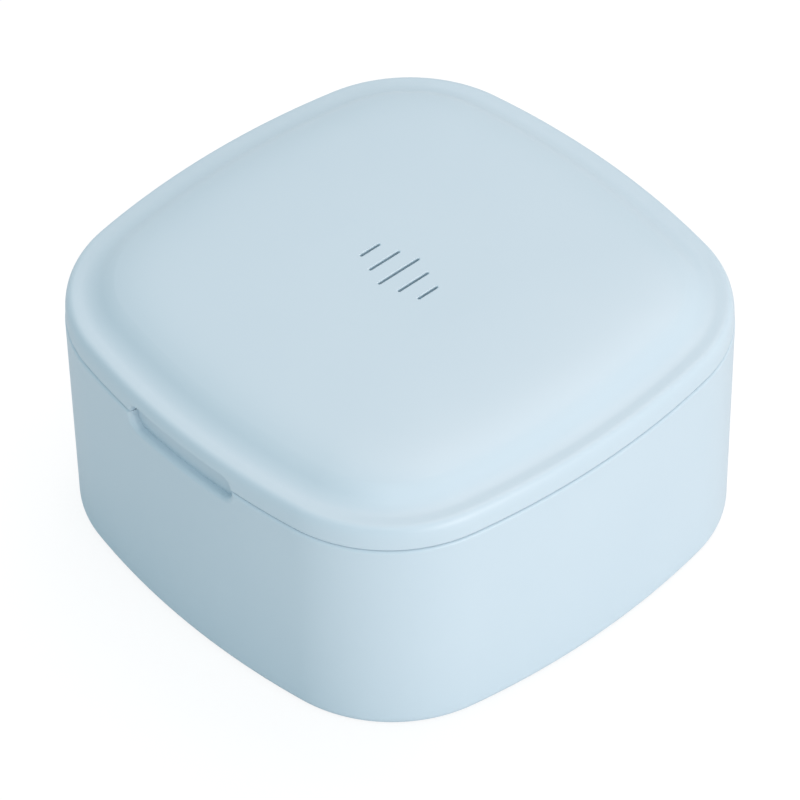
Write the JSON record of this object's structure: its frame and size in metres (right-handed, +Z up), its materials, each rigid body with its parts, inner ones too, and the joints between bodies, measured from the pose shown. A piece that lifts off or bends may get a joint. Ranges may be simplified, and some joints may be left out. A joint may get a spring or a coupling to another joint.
{
  "type": "denture case",
  "caption": "Square denture case with bowed sides, a hinged pillow-shaped lid with vent slots, and a lift-out strainer basket.",
  "frame": {"origin": "centre of the case's outline, on the surface that it stands on; the hinge at the back stays outside this outline", "axes": "+Z up, -Y towards the front with the finger notch, +Y towards the hinge, +X to the right seen from the front"},
  "size_m": [0.095, 0.098, 0.0494],
  "materials": {
    "case_plastic": "satin moulded polypropylene, light blue",
    "basket_plastic": "satin moulded polypropylene, white",
    "gasket_silicone": "matt silicone, milky white",
    "pin_steel": "plain stainless steel"
  },
  "bodies": {
    "case": {"tub": "case_plastic", "hinge_pin_left": "pin_steel", "hinge_pin_right": "pin_steel"},
    "cover": {"lid": "case_plastic", "lid_gasket": "gasket_silicone", "vent_guard": "case_plastic"},
    "strainer": {"basket": "basket_plastic"},
    "grip": {"basket_handle": "basket_plastic"}
  },
  "joints": [
    {"name": "lid_hinge", "type": "hinge", "parent": "case", "child": "cover", "pos_m": [0, 0.0486, 0.0372], "axis": [-1, 0, 0], "range_deg": [0, 110]},
    {"name": "basket_lift", "type": "slide", "parent": "case", "child": "strainer", "axis": [0, 0, 1], "range_m": [0, 0.03]},
    {"name": "handle_swing", "type": "hinge", "parent": "strainer", "child": "grip", "pos_m": [0, 0, 0.0342], "axis": [-1, 0, 0], "range_deg": [0, 90]}
  ],
  "couplings": [
    {"joint": "basket_lift", "follows": "lid_hinge", "m_per_rad": 0.0156},
    {"joint": "handle_swing", "follows": "lid_hinge", "ratio": 0.818}
  ]
}
